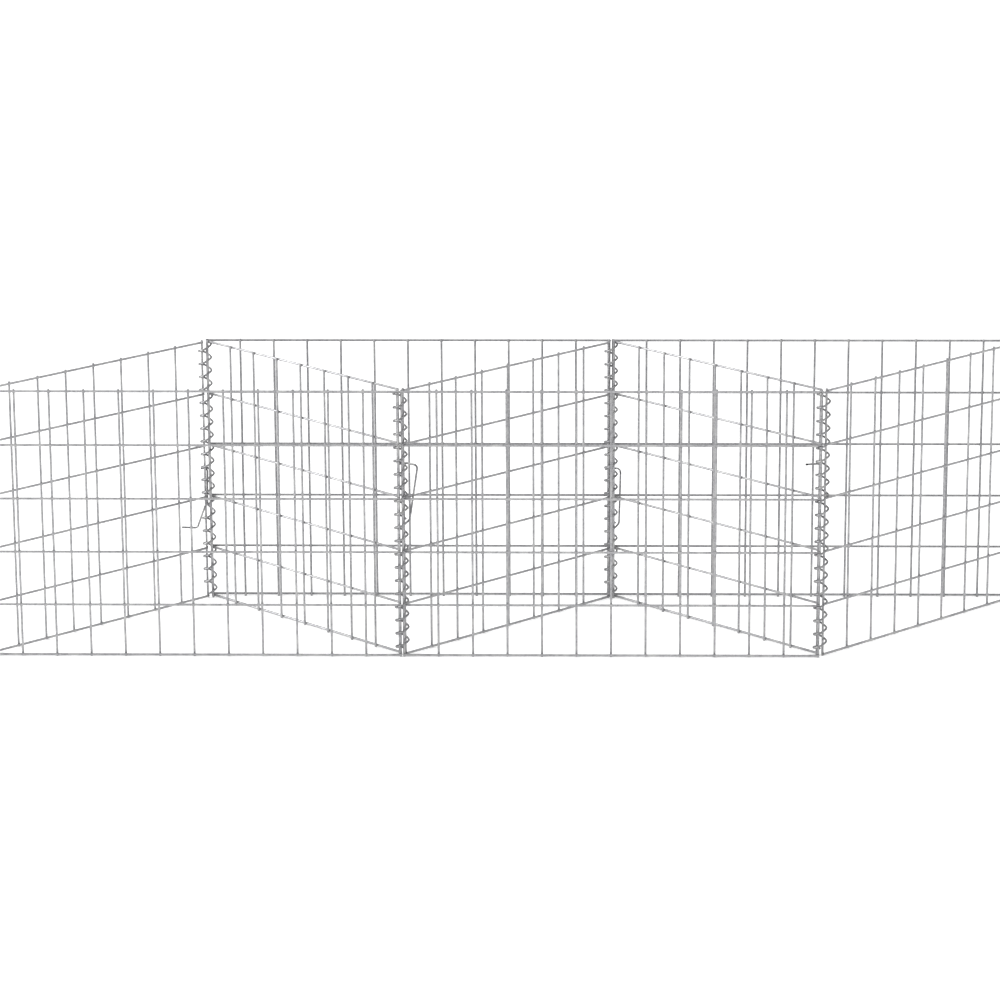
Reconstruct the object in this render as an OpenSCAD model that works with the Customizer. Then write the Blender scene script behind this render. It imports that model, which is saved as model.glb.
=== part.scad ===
// Gabion wall: a run of welded wire panels stood in a zigzag between a front line and a back line,
// laced together at every corner with two lengths of steel spiral. It stands empty, open at top and bottom.

/* [Mesh panels] */
// Spacing of the upright wires, centre to centre
column_pitch = 50; // [40:1:70]
// Spacing of the level wires, centre to centre
row_pitch = 80; // [66:1:110]
// Difference by which the bottom row is lower than the other rows
foot_short = 4; // [0:0.5:5]
// Number of rows of openings in every panel
rows = 5; // [3:1:7]
// Number of columns of openings in a front or back panel
long_columns = 12; // [10:1:14]
// Number of columns of openings in a zigzag panel
zig_columns = 8; // [8:1:12]
// Diameter of the mesh wire
wire_d = 3.5; // [2.9:0.1:4.2]
// Depth to which crossing wires are pressed into each other by the weld
weld_sink = 0.7; // [0.4:0.1:1]
// Length of upright wire past the middle of the outermost level wires
wire_end = 3; // [2.5:0.1:6]

/* [Corners] */
// Free gap between the edge wires of two long panels that meet at a corner
edge_gap = 1.7; // [0.6:0.1:3]
// Extra distance, past one wire, from a corner's middle to a zigzag panel's edge wire
nest_gap = 2.2; // [1.3:0.1:3]

/* [Spirals] */
// Diameter of the spiral's wire
spiral_wire_d = 3; // [2.5:0.1:3.6]
// Play between a zigzag panel's edge wire and the inside of the spiral
spiral_gap = 0.3; // [0.2:0.1:0.6]
// Play between the level wires of a long panel and the inside of the spiral
level_gap = 0.6; // [0.5:0.1:0.9]
// Turns of the spiral in one row of the mesh
turns_per_row = 4; // [3:1:4]

/* [Loose ends] */
// Middle radius of the bends in the loose end of a spiral
bend_r = 5; // [4:0.5:5.5]
// Height of the hooked ends at the front corners, counted in rows of the mesh
front_hook_rows = 3.6; // [3.4:0.05:3.7]
// Height of the hooked ends at the back corners, counted in rows of the mesh
back_hook_rows = 2.5; // [2.4:0.05:2.7]
// Distance by which the loose end at the middle front corner leans out to the right
lean = 10; // [0:1:14]

/* [Hidden] */

// Wires of the mesh have flat sides, one of which faces squarely out of the panel.
mesh_sides = 8;
spiral_sides = 32;
layer = wire_d - weld_sink;
function level_z(k) = wire_end + k * row_pitch - (k > 0 ? foot_short : 0);
overall_h = level_z(rows) + wire_end;

// Corners: the middles of the six wire bundles, along two parallel lines.
edge_seat = (wire_d + edge_gap) / 2;
zig_seat = wire_d + nest_gap;
long_w = long_columns * column_pitch;
zig_w = zig_columns * column_pitch;
bay = long_w + 2 * edge_seat;
zig_run = zig_w + 2 * zig_seat;
zig_angle = acos(bay / 2 / zig_run);
depth = zig_run * sin(zig_angle);
function corner(i) = [(i - 2.5) * bay / 2, (i % 2 == 0 ? -1 : 1) * depth / 2];
function corner_turn(i) = i % 2 == 0 ? 0 : 180;

// Spirals: a right-handed coil round the bundle, made of tilted half-rings that meet end to end at its sides.
// It crosses the height of each level wire on the side of the corner that no zigzag panel leaves.
spiral_r = zig_seat + wire_d / 2 + spiral_gap + spiral_wire_d / 2;
spiral_pitch = row_pitch / turns_per_row;
half_rise = spiral_pitch / 2;
ring_tilt = atan(half_rise / 2 / spiral_r);
ring_r = spiral_r / cos(ring_tilt);
spiral_start = wire_end - foot_short + spiral_pitch / 4;
all_turns = rows * turns_per_row;
last_half = 2 * all_turns - 1;
top_sweep = 75;
function coil_z(halves) = spiral_start + halves * half_rise;

// Lengths of spiral wire are made by turns a hair thicker and thinner, and each thin one runs a little way
// into its thick neighbours, so that the wire is one piece.
merge_d = 0.06;
merge_length = 0.2;
merge_turn = 1;

// The long panels stand where their level wires just clear the inside of the spiral: at the middle of the front
// or the back, and further round, where the coil slants past them.
slant_gap = 0.04;
slant_clear = wire_d / 2 / cos(180 / mesh_sides) + (spiral_wire_d + merge_d) / 2 + slant_gap;
level_seat = min(
  ring_r - spiral_wire_d / 2 - level_gap - wire_d / 2,
  spiral_r * sqrt(1 - pow(slant_clear / (half_rise / 2), 2))
);
long_offset = level_seat - layer;

// The lower spiral at each corner, left to right: its whole half-turns, and the sweep of the one it ends in.
// It takes up half of the height at the front and less at the back.
back_share = 0.25;
back_left_share = 0.3;
front_halves = all_turns + all_turns % 2;
back_halves = 2 * round(all_turns * back_share);
back_left_halves = 2 * round(all_turns * back_left_share) + 1;
lower_halves = [front_halves - 1, back_left_halves, front_halves - 1, back_halves, front_halves, back_halves];
side_sweep = 150;
back_sweep = 60;
end_sweeps = [side_sweep, back_sweep, side_sweep, side_sweep, back_sweep, side_sweep];

// The first half-turn begins past the level wires of the panels at its side.
start_angle = 80;

// The upper spiral at each corner: its first half-turn, and the angle in it at which the wire begins.
side_start = 40;
back_start = 110;
first_halves = lower_halves + [1, 1, 1, 1, 0, 1];
first_angles = [side_start, 90, side_start, side_start, back_start, side_start];

// The side a half-turn bulges to, and a point on a coil and the way the wire heads there, seen from its corner.
function half_side(i, k) = (i + k) % 2 == 0 ? 1 : -1;
function unit(v) = v / norm(v);
function coil_point(i, k, angle) = [
  half_side(i, k) * spiral_r * cos(angle), half_side(i, k) * ring_r * sin(angle),
  coil_z(k + 0.5) - half_rise / 2 * cos(angle),
];
function coil_way(i, k, angle) = unit([
  -half_side(i, k) * spiral_r * sin(angle), half_side(i, k) * ring_r * cos(angle),
  half_rise / 2 * sin(angle),
]);

// The loose end of a lower spiral leaves the coil in a straight lead, runs up outside it and turns across the
// back to the left. How far its tip reaches there differs from corner to corner.
hook_top = [level_z(front_hook_rows), level_z(back_hook_rows)];
lead = 10;
clear_x = spiral_r + spiral_wire_d + spiral_gap;
clear_y = ring_r + spiral_wire_d + spiral_gap;
outward = 2;
hook_inset = 3;
back_lean = 1;
tip_reach = [22, 12, 5, 9, 24, 9];
tip_drop = 1.5;
function tip(i) = [-tip_reach[i], clear_y + spiral_gap, hook_top[i % 2] - tip_drop];
function leaving(i, sweep) = coil_point(i, lower_halves[i], sweep) + lead * coil_way(i, lower_halves[i], sweep);
function side_end(i, out) = [
  coil_point(i, lower_halves[i], side_sweep),
  leaving(i, side_sweep),
  [clear_x + outward + out, leaving(i, side_sweep)[1] - outward, hook_top[i % 2]],
  [clear_x - hook_inset, clear_y + 2 * spiral_gap, hook_top[i % 2]],
  tip(i),
];
function back_end(i) = [
  coil_point(i, lower_halves[i], back_sweep),
  leaving(i, back_sweep),
  [leaving(i, back_sweep)[0] + back_lean, clear_y + spiral_gap, hook_top[i % 2]],
  tip(i),
];

// The upper spiral at the back left begins with a hook that hangs down in front of the coil.
hang_drop = 36;
hang_side = [-16.5, -40];
function hanging_end(i) =
  let(
    from = coil_point(i, first_halves[i], first_angles[i]),
    way = -coil_way(i, first_halves[i], first_angles[i])
  ) [
    from,
    from + lead / 2 * way,
    [hang_side[0], -clear_y - 2 * spiral_gap, from[2] - hang_drop],
    [hang_side[1], -clear_y + outward, from[2] - hang_drop],
  ];

module upright_bar(x) {
  translate([x, 0, 0])
    rotate([0, 0, 180 / mesh_sides])
      cylinder(d = wire_d / cos(180 / mesh_sides), h = overall_h, $fn = mesh_sides);
}

module level_bar(x_from, x_to, side, z) {
  translate([x_from, side * layer, z])
    rotate([0, 90, 0])
      rotate([0, 0, 180 / mesh_sides])
        cylinder(d = wire_d / cos(180 / mesh_sides), h = x_to - x_from, $fn = mesh_sides);
}

// A panel along +X from its first upright wire; side is the face of the uprights that carries the level wires.
module panel(columns, side, overrun) {
  width = columns * column_pitch;
  for (i = [0:columns])
    upright_bar(i * column_pitch);
  for (k = [0:rows])
    level_bar(-overrun, width + overrun, side, level_z(k));
}

module front_panel(left_corner) {
  color("gainsboro")
    translate([corner(left_corner)[0] + edge_seat, corner(left_corner)[1] - long_offset, 0])
      panel(long_columns, -1, wire_d / 2);
}

module back_panel(left_corner) {
  color("gainsboro")
    translate([corner(left_corner)[0] + edge_seat, corner(left_corner)[1] + long_offset, 0])
      panel(long_columns, 1, wire_d / 2);
}

// The level wires lie on the right-hand face of every zigzag panel, where they clear those of its neighbours.
module zigzag_panel(left_corner) {
  rising = left_corner % 2 == 0;
  turn = rising ? zig_angle : -zig_angle;
  color("gainsboro")
    translate([corner(left_corner)[0], corner(left_corner)[1], 0])
      rotate([0, 0, turn])
        translate([zig_seat, 0, 0])
          panel(zig_columns, rising ? -1 : 1, 0);
}

// The half-turn of a coil that is numbered k, counted up from the bottom, or only a part of it.
module coil_half(k, thick, from = 0, to = 180) {
  start = thick || from > 0 ? from : -merge_turn;
  end = thick || to < 180 ? to : 180 + merge_turn;
  translate([0, 0, coil_z(k + 0.5)])
    rotate([0, 0, 180 * (k % 2)])
      rotate([0, ring_tilt, 0])
        rotate([0, 0, start])
          wire_arc(ring_r, end - start, thick);
}

module wire_arc(radius, angle, thick) {
  rotate_extrude(angle = angle, $fn = 4 * spiral_sides)
    translate([radius, 0])
      circle(d = spiral_wire_d + (thick ? merge_d : 0), $fn = spiral_sides);
}

// Straight lengths of spiral wire from point to point with a round bend at each inner point.
module bent_wire(points) {
  last = len(points) - 1;
  ways = [for (i = [1:last]) unit(points[i] - points[i - 1])];
  turns = [for (i = [1:last - 1]) acos(ways[i - 1] * ways[i])];
  trims = [-merge_length, for (turn = turns) bend_r * tan(turn / 2) - merge_length, 0];
  lengths = [for (i = [0:last - 1]) norm(points[i + 1] - points[i]) - trims[i] - trims[i + 1]];
  for (i = [0:last - 1])
    translate(points[i] + ways[i] * trims[i])
      rotate([0, acos(ways[i][2]), atan2(ways[i][1], ways[i][0])])
        cylinder(d = spiral_wire_d, h = lengths[i], $fn = spiral_sides);
  for (i = [1:last - 1])
    wire_bend(points[i], ways[i - 1], ways[i], turns[i - 1]);
}

// A bend that leads from one way into another at a point where the two straight lengths would meet.
module wire_bend(point, before, after, turn) {
  inward = unit(after - before * (before * after));
  axis = cross(before, inward);
  middle = point - before * bend_r * tan(turn / 2) + inward * bend_r;
  multmatrix([
    [-inward[0], before[0], axis[0], middle[0]],
    [-inward[1], before[1], axis[1], middle[1]],
    [-inward[2], before[2], axis[2], middle[2]],
    [0, 0, 0, 1],
  ])
    wire_arc(bend_r, turn, true);
}

module at_corner(i) {
  translate([corner(i)[0], corner(i)[1], 0])
    children();
}

module lower_coil(i) {
  last = lower_halves[i];
  at_corner(i)
    rotate([0, 0, corner_turn(i)]) {
      for (k = [0:last - 1])
        coil_half(k, (last - k) % 2 == 0, from = k == 0 ? start_angle : 0);
      coil_half(last, true, to = end_sweeps[i]);
    }
}

module upper_coil(i) {
  first = first_halves[i];
  at_corner(i)
    rotate([0, 0, corner_turn(i)]) {
      coil_half(first, true, from = first_angles[i]);
      for (k = [first + 1:last_half - 1])
        coil_half(k, (k - first) % 2 == 0);
      coil_half(last_half, (last_half - first) % 2 == 0, to = top_sweep);
    }
}

module lower_spiral(i) {
  color("silver") {
    lower_coil(i);
    at_corner(i)
      bent_wire(end_sweeps[i] == back_sweep ? back_end(i) : side_end(i, i == 2 ? lean : 0));
  }
}

module upper_spiral(i) {
  color("silver") {
    upper_coil(i);
    if (i == 1)
      at_corner(i)
        bent_wire(hanging_end(i));
  }
}

front_panel(0);  // front_panel_left
front_panel(2);  // front_panel_right
back_panel(1);  // back_panel_left
back_panel(3);  // back_panel_right
zigzag_panel(0);  // zigzag_panel_1
zigzag_panel(1);  // zigzag_panel_2
zigzag_panel(2);  // zigzag_panel_3
zigzag_panel(3);  // zigzag_panel_4
zigzag_panel(4);  // zigzag_panel_5
lower_spiral(0);  // lower_spiral_front_left
lower_spiral(1);  // lower_spiral_back_left
lower_spiral(2);  // lower_spiral_front_middle
lower_spiral(3);  // lower_spiral_back_middle
lower_spiral(4);  // lower_spiral_front_right
lower_spiral(5);  // lower_spiral_back_right
upper_spiral(0);  // upper_spiral_front_left
upper_spiral(1);  // upper_spiral_back_left
upper_spiral(2);  // upper_spiral_front_middle
upper_spiral(3);  // upper_spiral_back_middle
upper_spiral(4);  // upper_spiral_front_right
upper_spiral(5);  // upper_spiral_back_right
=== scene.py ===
import math
import random

import bmesh
import bpy
from mathutils import Matrix, Vector


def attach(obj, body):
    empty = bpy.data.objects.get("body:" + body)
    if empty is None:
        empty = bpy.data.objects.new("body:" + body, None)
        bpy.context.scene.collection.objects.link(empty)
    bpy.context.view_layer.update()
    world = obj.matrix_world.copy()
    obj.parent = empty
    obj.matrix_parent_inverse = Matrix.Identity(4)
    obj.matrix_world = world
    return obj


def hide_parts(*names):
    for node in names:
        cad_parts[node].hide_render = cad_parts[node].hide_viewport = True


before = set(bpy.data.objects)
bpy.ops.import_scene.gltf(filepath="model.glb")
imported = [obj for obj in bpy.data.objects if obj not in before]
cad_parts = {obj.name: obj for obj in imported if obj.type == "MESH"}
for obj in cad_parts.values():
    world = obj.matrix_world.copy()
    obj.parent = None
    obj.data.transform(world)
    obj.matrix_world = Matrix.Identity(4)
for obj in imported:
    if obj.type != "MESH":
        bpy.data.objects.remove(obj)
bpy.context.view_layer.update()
chance = random.Random(11)

# ---------------------------------------------------------------- sizes, in metres, as the frame has them
MM = 0.001
COLUMN_PITCH = 50 * MM
ROW_PITCH = 80 * MM
FOOT_SHORT = 4 * MM
ROWS = 5
LONG_COLUMNS = 12
ZIG_COLUMNS = 8
WIRE_R = 1.75 * MM
LAYER = 2.8 * MM
WIRE_END = 3 * MM

EDGE_SEAT = 2.6 * MM
ZIG_SEAT = 5.7 * MM
BAY = LONG_COLUMNS * COLUMN_PITCH + 2 * EDGE_SEAT
ZIG_RUN = ZIG_COLUMNS * COLUMN_PITCH + 2 * ZIG_SEAT
ZIG_ANGLE = math.acos(BAY / 2 / ZIG_RUN)
DEPTH = ZIG_RUN * math.sin(ZIG_ANGLE)

SPIRAL_WIRE_R = 1.5 * MM
COIL_R = 9.25 * MM
HALF_RISE = 10 * MM
RING_TILT = math.atan(HALF_RISE / 2 / COIL_R)
RING_R = COIL_R / math.cos(RING_TILT)
COIL_START = WIRE_END - FOOT_SHORT + HALF_RISE / 2
LEVEL_GAP = 0.6 * MM
SPIRAL_GAP = 0.3 * MM
# How far outside the corner line a long panel's uprights stand.
LONG_OFFSET = RING_R - SPIRAL_WIRE_R - LEVEL_GAP - WIRE_R - LAYER

# Each corner from left to right: whole half-turns and last sweep of the lower spiral, start of the upper one.
LOWER_HALVES = (19, 13, 19, 10, 20, 10)
END_SWEEPS = (150, 60, 150, 150, 60, 150)
FIRST_HALVES = (20, 14, 20, 11, 20, 11)
FIRST_ANGLES = (40, 90, 40, 40, 110, 40)
LAST_HALF = 39
START_ANGLE = 80
TOP_SWEEP = 75

BEND_R = 5 * MM
LEAD = 10 * MM
LEAN = 10 * MM
OUTWARD = 2 * MM
CLEAR_X = COIL_R + 2 * SPIRAL_WIRE_R + SPIRAL_GAP
CLEAR_Y = RING_R + 2 * SPIRAL_WIRE_R + SPIRAL_GAP
TIP_REACH = tuple(reach * MM for reach in (22, 12, 5, 9, 24, 9))
TIP_DROP = 1.5 * MM
HOOK_INSET = 3 * MM
BACK_LEAN = 1 * MM
HANG_DROP = 36 * MM
HANG_TURN = -16.5 * MM
HANG_TIP = -40 * MM

# ---------------------------------------------------------------- fineness of the meshes
WIRE_SIDES = 16
SPIRAL_SIDES = 14
HALF_STEPS = 15
BEND_STEPS = 8
CUT_BEVEL = 0.35 * MM

# ---------------------------------------------------------------- small unevenness of the work
TOP_SHORT = 0.8 * MM
FOOT_SHORT_BY_CUT = 0.5 * MM
WELD_SPREAD = 1.25
WELD_FLAT = 0.8
WELD_VARIATION = 0.08
DARK_TIP_LENGTH = 3.6 * MM


def corner(i):
    return Vector(((i - 2.5) * BAY / 2, (-1 if i % 2 == 0 else 1) * DEPTH / 2, 0))


def level_z(k):
    return WIRE_END + k * ROW_PITCH - (FOOT_SHORT if k > 0 else 0)


TOP = level_z(ROWS) + WIRE_END
FRONT_HOOK_ROWS = 3.6
BACK_HOOK_ROWS = 2.5
HOOK_TOP = (level_z(FRONT_HOOK_ROWS), level_z(BACK_HOOK_ROWS))


# ---------------------------------------------------------------- finishes
def new_material(name, metallic, specular):
    material = bpy.data.materials.new(name)
    material.use_nodes = True
    shader = material.node_tree.nodes["Principled BSDF"]
    shader.inputs["Metallic"].default_value = metallic
    shader.inputs["Specular IOR Level"].default_value = specular
    return material, shader


def galvanised(name, light, dark, blotch, rough_low, rough_high, metallic):
    """Hot-dipped zinc: small spangles, cloudy dull patches, and a faintly lumpy skin."""
    material, shader = new_material(name, metallic, 0.5)
    nodes, link = material.node_tree.nodes, material.node_tree.links.new
    place = nodes.new("ShaderNodeTexCoord")
    spangle = nodes.new("ShaderNodeTexVoronoi")
    spangle.inputs["Scale"].default_value = 420
    link(place.outputs["Object"], spangle.inputs["Vector"])
    cloud = nodes.new("ShaderNodeTexNoise")
    cloud.inputs["Scale"].default_value = 55
    cloud.inputs["Detail"].default_value = 5
    link(place.outputs["Object"], cloud.inputs["Vector"])

    shade = nodes.new("ShaderNodeValToRGB")
    shade.color_ramp.elements[0].position = 0.2
    shade.color_ramp.elements[0].color = (*dark, 1)
    shade.color_ramp.elements[1].position = 0.8
    shade.color_ramp.elements[1].color = (*light, 1)
    link(spangle.outputs["Color"], shade.inputs["Fac"])
    patch = nodes.new("ShaderNodeValToRGB")
    patch.color_ramp.elements[0].position = 0.48
    patch.color_ramp.elements[0].color = (0, 0, 0, 1)
    patch.color_ramp.elements[1].position = 0.68
    patch.color_ramp.elements[1].color = (0.75, 0.75, 0.75, 1)
    link(cloud.outputs["Fac"], patch.inputs["Fac"])
    mix = nodes.new("ShaderNodeMix")
    mix.data_type = "RGBA"
    mix.inputs["B"].default_value = (*blotch, 1)
    link(patch.outputs["Color"], mix.inputs["Factor"])
    link(shade.outputs["Color"], mix.inputs["A"])
    link(mix.outputs["Result"], shader.inputs["Base Color"])

    rough = nodes.new("ShaderNodeMapRange")
    rough.inputs["To Min"].default_value = rough_low
    rough.inputs["To Max"].default_value = rough_high
    link(cloud.outputs["Fac"], rough.inputs["Value"])
    link(rough.outputs["Result"], shader.inputs["Roughness"])

    skin = nodes.new("ShaderNodeTexNoise")
    skin.inputs["Scale"].default_value = 700
    skin.inputs["Detail"].default_value = 3
    link(place.outputs["Object"], skin.inputs["Vector"])
    bump = nodes.new("ShaderNodeBump")
    bump.inputs["Strength"].default_value = 0.35
    bump.inputs["Distance"].default_value = 0.15 * MM
    link(skin.outputs["Fac"], bump.inputs["Height"])
    link(bump.outputs["Normal"], shader.inputs["Normal"])
    return material


# Lit and shaded copies of one zinc: the lighter one, on the front and zigzag panels, is painted light, and
# the darker one, on the back panels, is painted shade for the back standing in less light.
painted_lit_zinc = galvanised(
    "painted_lit_zinc", (0.36, 0.36, 0.37), (0.25, 0.25, 0.26), (0.43, 0.43, 0.425), 0.30, 0.5, 0.75)
painted_shade_zinc = galvanised(
    "painted_shade_zinc", (0.29, 0.29, 0.30), (0.20, 0.20, 0.21), (0.36, 0.36, 0.355), 0.34, 0.55, 0.75)
weld_zinc = galvanised(
    "weld_zinc", (0.25, 0.25, 0.26), (0.145, 0.145, 0.15), (0.30, 0.295, 0.29), 0.45, 0.7, 0.7)
spiral_zinc = galvanised(
    "spiral_zinc", (0.26, 0.26, 0.27), (0.13, 0.13, 0.135), (0.33, 0.33, 0.325), 0.22, 0.45, 0.85)
# Near-black colour for the last few millimetres of each lower spiral's wire.
dark_tip_material = galvanised(
    "dark_tip_material", (0.035, 0.035, 0.035), (0.012, 0.012, 0.012), (0.07, 0.066, 0.062), 0.45, 0.7, 0.7)


# ---------------------------------------------------------------- pieces
def finish_piece(name, bm, materials):
    """Turns a mesh into the piece that stands for the frame's node of the same name."""
    bmesh.ops.recalc_face_normals(bm, faces=bm.faces)
    for face in bm.faces:
        face.smooth = True
    mesh = bpy.data.meshes.new(name)
    bm.to_mesh(mesh)
    bm.free()
    for material in materials:
        mesh.materials.append(material)
    piece = bpy.data.objects.new(name + "_wire", mesh)
    bpy.context.scene.collection.objects.link(piece)
    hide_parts(name)
    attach(piece, "root")


def soften_cut_ends(bm):
    """The sheared ends of the wires have a narrow rounded rim."""
    rims = [e for e in bm.edges if any(len(f.verts) > 4 for f in e.link_faces)]
    bmesh.ops.bevel(bm, geom=rims, offset=CUT_BEVEL, offset_type="OFFSET", segments=2, profile=0.5,
                    affect="EDGES", material=-1)


def straight_wire(bm, place, start, end):
    way = end - start
    turn = way.to_track_quat("Z", "Y").to_matrix().to_4x4()
    bmesh.ops.create_cone(
        bm, cap_ends=True, cap_tris=False, segments=WIRE_SIDES, radius1=WIRE_R, radius2=WIRE_R,
        depth=way.length, matrix=place @ Matrix.Translation((start + end) / 2) @ turn)


def weld(bm, place, point):
    """The squeezed metal between two wires where they cross."""
    spread = WELD_SPREAD * chance.uniform(1 - WELD_VARIATION, 1 + WELD_VARIATION)
    squash = Matrix.Diagonal((spread, WELD_FLAT, spread, 1))
    made = bmesh.ops.create_uvsphere(
        bm, u_segments=8, v_segments=5, radius=WIRE_R,
        matrix=place @ Matrix.Translation(point) @ squash)
    faces = {f for v in made["verts"] for f in v.link_faces}
    for face in faces:
        face.material_index = 1


def mesh_panel(name, place, columns, side, overrun, zinc):
    bm = bmesh.new()
    width = columns * COLUMN_PITCH
    for i in range(columns + 1):
        top = TOP - chance.uniform(0, 1) * TOP_SHORT
        foot = chance.uniform(0, 1) * FOOT_SHORT_BY_CUT if 0 < i < columns else 0
        straight_wire(bm, place, Vector((i * COLUMN_PITCH, 0, foot)), Vector((i * COLUMN_PITCH, 0, top)))
    for k in range(ROWS + 1):
        straight_wire(bm, place, Vector((-overrun, side * LAYER, level_z(k))),
                      Vector((width + overrun, side * LAYER, level_z(k))))
    soften_cut_ends(bm)
    for i in range(columns + 1):
        for k in range(ROWS + 1):
            weld(bm, place, Vector((i * COLUMN_PITCH, side * LAYER / 2, level_z(k))))
    finish_piece(name, bm, (zinc, weld_zinc))


def long_panel(name, left_corner, side, zinc):
    start = corner(left_corner) + Vector((EDGE_SEAT, side * LONG_OFFSET, 0))
    mesh_panel(name, Matrix.Translation(start), LONG_COLUMNS, side, WIRE_R, zinc)


def zigzag_panel(name, left_corner):
    rising = left_corner % 2 == 0
    turn = Matrix.Rotation(ZIG_ANGLE if rising else -ZIG_ANGLE, 4, "Z")
    place = Matrix.Translation(corner(left_corner)) @ turn @ Matrix.Translation((ZIG_SEAT, 0, 0))
    mesh_panel(name, place, ZIG_COLUMNS, -1 if rising else 1, 0, painted_lit_zinc)


# ---------------------------------------------------------------- spirals
def only_edges(geom):
    return [g for g in geom if isinstance(g, bmesh.types.BMEdge)]


def open_wire(bm, point, way):
    """The first ring of edges of a spiral's wire, square to the way it sets off."""
    turn = way.to_track_quat("Z", "Y").to_matrix().to_4x4()
    bmesh.ops.create_circle(
        bm, cap_ends=False, segments=SPIRAL_SIDES, radius=SPIRAL_WIRE_R,
        matrix=Matrix.Translation(point) @ turn)
    return bm.edges[:]


def run_straight(bm, ring, way, length):
    made = bmesh.ops.spin(bm, geom=ring, cent=(0, 0, 0), axis=(0, 0, 1), dvec=way * length, angle=0,
                          steps=1, use_merge=False, use_normal_flip=False, use_duplicate=False)
    return only_edges(made["geom_last"])


def run_round(bm, ring, middle, axis, angle, steps):
    made = bmesh.ops.spin(bm, geom=ring, cent=middle, axis=axis, dvec=(0, 0, 0), angle=angle,
                          steps=steps, use_merge=False, use_normal_flip=False, use_duplicate=False)
    return only_edges(made["geom_last"])


def bulge(i, k):
    return 1 if (i + k) % 2 == 0 else -1


def coil_z(halves):
    return COIL_START + halves * HALF_RISE


def coil_point(i, k, degrees):
    angle = math.radians(degrees)
    return corner(i) + Vector((bulge(i, k) * COIL_R * math.cos(angle), bulge(i, k) * RING_R * math.sin(angle),
                               coil_z(k + 0.5) - HALF_RISE / 2 * math.cos(angle)))


def coil_way(i, k, degrees):
    angle = math.radians(degrees)
    return Vector((-bulge(i, k) * COIL_R * math.sin(angle), bulge(i, k) * RING_R * math.cos(angle),
                   HALF_RISE / 2 * math.sin(angle))).normalized()


def run_coil(bm, ring, i, first, from_angle, last, to_angle):
    """Half-turns first to last of the coil at corner i, the two outer ones only in part."""
    for k in range(first, last + 1):
        middle = corner(i) + Vector((0, 0, coil_z(k + 0.5)))
        axis = Vector((bulge(i, k) * math.sin(RING_TILT), 0, math.cos(RING_TILT)))
        start = from_angle if k == first else 0
        end = to_angle if k == last else 180
        steps = max(2, round(HALF_STEPS * (end - start) / 180))
        ring = run_round(bm, ring, middle, axis, math.radians(end - start), steps)
    return ring


def run_bent(bm, ring, points):
    """Straight lengths from point to point with a round bend at each inner point."""
    ways = [(b - a).normalized() for a, b in zip(points, points[1:])]
    turns = [a.angle(b) for a, b in zip(ways, ways[1:])]
    trims = [0] + [BEND_R * math.tan(turn / 2) for turn in turns] + [0]
    for j, way in enumerate(ways):
        length = (points[j + 1] - points[j]).length - trims[j] - trims[j + 1]
        ring = run_straight(bm, ring, way, length)
        if j < len(turns):
            inward = (ways[j + 1] - way * way.dot(ways[j + 1])).normalized()
            middle = points[j + 1] - way * trims[j + 1] + inward * BEND_R
            ring = run_round(bm, ring, middle, way.cross(inward), turns[j], BEND_STEPS)
    return ring


def tip(i):
    return corner(i) + Vector((-TIP_REACH[i], CLEAR_Y + SPIRAL_GAP, HOOK_TOP[i % 2] - TIP_DROP))


def loose_end(i):
    """The points of the handle in which a lower spiral ends."""
    sweep, k = END_SWEEPS[i], LOWER_HALVES[i]
    start = coil_point(i, k, sweep)
    leaving = start + coil_way(i, k, sweep) * LEAD
    top = HOOK_TOP[i % 2]
    side = leaving - corner(i)
    if sweep < 90:
        return [start, leaving, corner(i) + Vector((side.x + BACK_LEAN, CLEAR_Y + SPIRAL_GAP, top)), tip(i)]
    lean = LEAN if i == 2 else 0
    return [
        start, leaving,
        corner(i) + Vector((CLEAR_X + OUTWARD + lean, side.y - OUTWARD, top)),
        corner(i) + Vector((CLEAR_X - HOOK_INSET, CLEAR_Y + 2 * SPIRAL_GAP, top)),
        tip(i),
    ]


def hanging_hook(i):
    """The points of the hook in which the upper spiral at the back left begins, from its tip on."""
    start = coil_point(i, FIRST_HALVES[i], FIRST_ANGLES[i])
    low = start.z - HANG_DROP
    return [
        corner(i) + Vector((HANG_TIP, OUTWARD - CLEAR_Y, low)),
        corner(i) + Vector((HANG_TURN, -CLEAR_Y - 2 * SPIRAL_GAP, low)),
        start - coil_way(i, FIRST_HALVES[i], FIRST_ANGLES[i]) * LEAD / 2,
        start,
    ]


def close_wire(bm):
    """Caps both ends of the wire and rounds their rims."""
    rims = [e for e in bm.edges if e.is_boundary]
    bmesh.ops.holes_fill(bm, edges=rims, sides=0)
    soften_cut_ends(bm)


def darken_tip(bm, end):
    """The last of the wire is dark where it was cut off."""
    reach = math.hypot(DARK_TIP_LENGTH, SPIRAL_WIRE_R) + CUT_BEVEL / 10  # just past the inner edge of the dark tip
    for face in bm.faces:
        if all((v.co - end).length < reach for v in face.verts):
            face.material_index = 1


def lower_spiral(name, i):
    bm = bmesh.new()
    ring = open_wire(bm, coil_point(i, 0, START_ANGLE), coil_way(i, 0, START_ANGLE))
    ring = run_coil(bm, ring, i, 0, START_ANGLE, LOWER_HALVES[i], END_SWEEPS[i])
    points = loose_end(i)
    way = (points[-1] - points[-2]).normalized()
    ring = run_bent(bm, ring, points[:-1] + [points[-1] - way * DARK_TIP_LENGTH])
    run_straight(bm, ring, way, DARK_TIP_LENGTH)
    close_wire(bm)
    darken_tip(bm, points[-1])
    finish_piece(name, bm, (spiral_zinc, dark_tip_material))


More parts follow.
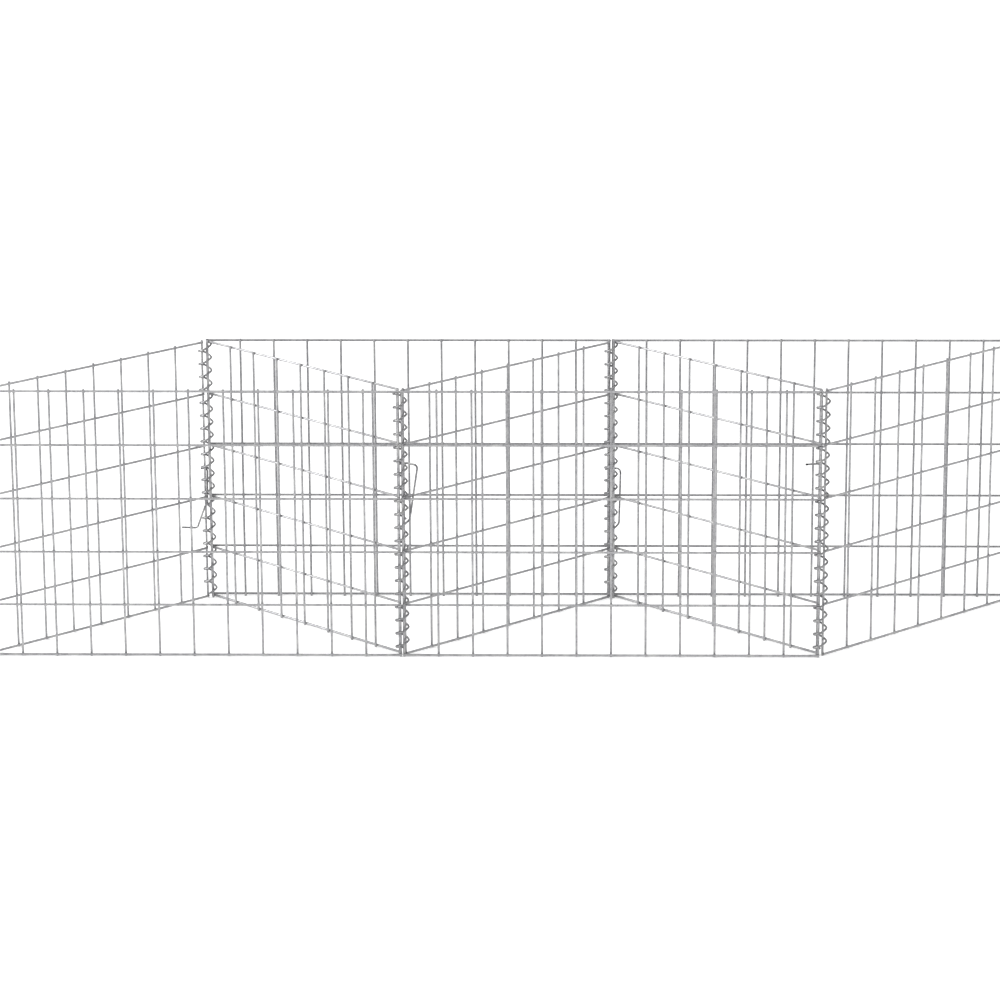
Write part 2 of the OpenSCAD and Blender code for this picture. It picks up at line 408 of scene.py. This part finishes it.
def upper_spiral(name, i):
    bm = bmesh.new()
    first, angle = FIRST_HALVES[i], FIRST_ANGLES[i]
    if i == 1:
        hook = hanging_hook(i)
        ring = open_wire(bm, hook[0], (hook[1] - hook[0]).normalized())
        ring = run_bent(bm, ring, hook)
    else:
        ring = open_wire(bm, coil_point(i, first, angle), coil_way(i, first, angle))
    run_coil(bm, ring, i, first, angle, LAST_HALF, TOP_SWEEP)
    close_wire(bm)
    finish_piece(name, bm, (spiral_zinc,))


# The front panels carry the lighter zinc (painted light), the back panels the darker zinc (painted shade).
long_panel("front_panel_left", 0, -1, painted_lit_zinc)
long_panel("front_panel_right", 2, -1, painted_lit_zinc)
long_panel("back_panel_left", 1, 1, painted_shade_zinc)
long_panel("back_panel_right", 3, 1, painted_shade_zinc)
for i in range(5):
    zigzag_panel("zigzag_panel_%d" % (i + 1), i)
CORNERS = ("front_left", "back_left", "front_middle", "back_middle", "front_right", "back_right")
for i, where in enumerate(CORNERS):
    lower_spiral("lower_spiral_" + where, i)
    upper_spiral("upper_spiral_" + where, i)


# ---------------------------------------------------------------- studio
def floor_white():
    material, shader = new_material("floor_white", 0, 0.2)
    shader.inputs["Base Color"].default_value = (0.9, 0.9, 0.9, 1)
    shader.inputs["Roughness"].default_value = 0.9
    shader.inputs["Emission Color"].default_value = (1, 1, 1, 1)
    shader.inputs["Emission Strength"].default_value = 0.3
    return material


def lay_floor():
    bm = bmesh.new()
    bmesh.ops.create_grid(bm, x_segments=1, y_segments=1, size=30)
    mesh = bpy.data.meshes.new("floor")
    bm.to_mesh(mesh)
    bm.free()
    mesh.materials.append(floor_white())
    floor = bpy.data.objects.new("floor", mesh)
    bpy.context.scene.collection.objects.link(floor)


def soft_light(name, place, size, power):
    lamp = bpy.data.lights.new(name, "AREA")
    lamp.shape = "RECTANGLE"
    lamp.size, lamp.size_y = size
    lamp.energy = power
    light = bpy.data.objects.new(name, lamp)
    light.location = place
    light.rotation_euler = (Vector((0, 0, TOP / 2)) - Vector(place)).to_track_quat("-Z", "Y").to_euler()
    bpy.context.scene.collection.objects.link(light)


def light_studio():
    world = bpy.data.worlds.new("studio")
    world.use_nodes = True
    sky = world.node_tree.nodes["Background"]
    sky.inputs["Color"].default_value = (1, 1, 1, 1)
    sky.inputs["Strength"].default_value = 1.0
    bpy.context.scene.world = world
    soft_light("side_light", (-11.5, 0.6, 5.4), (6.4, 4.8), 1250)
    soft_light("top_light", (0.4, -1.4, 3.0), (2.4, 1.2), 20)


def set_camera():
    lens = bpy.data.cameras.new("camera")
    lens.lens = 161.81
    lens.sensor_width = 36
    lens.clip_end = 100
    camera = bpy.data.objects.new("camera", lens)
    place = Matrix.Translation((0.1371, -6.3387, 2.0808))
    heading = Matrix.Rotation(math.radians(1.3469), 4, "Z")
    raise_up = Matrix.Rotation(math.radians(90 - 16.5746), 4, "X")
    roll = Matrix.Rotation(math.radians(-0.2993), 4, "Z")
    camera.matrix_world = place @ heading @ raise_up @ roll
    bpy.context.scene.collection.objects.link(camera)
    bpy.context.scene.camera = camera


lay_floor()
light_studio()
set_camera()
bpy.context.scene.view_settings.view_transform = "Standard"
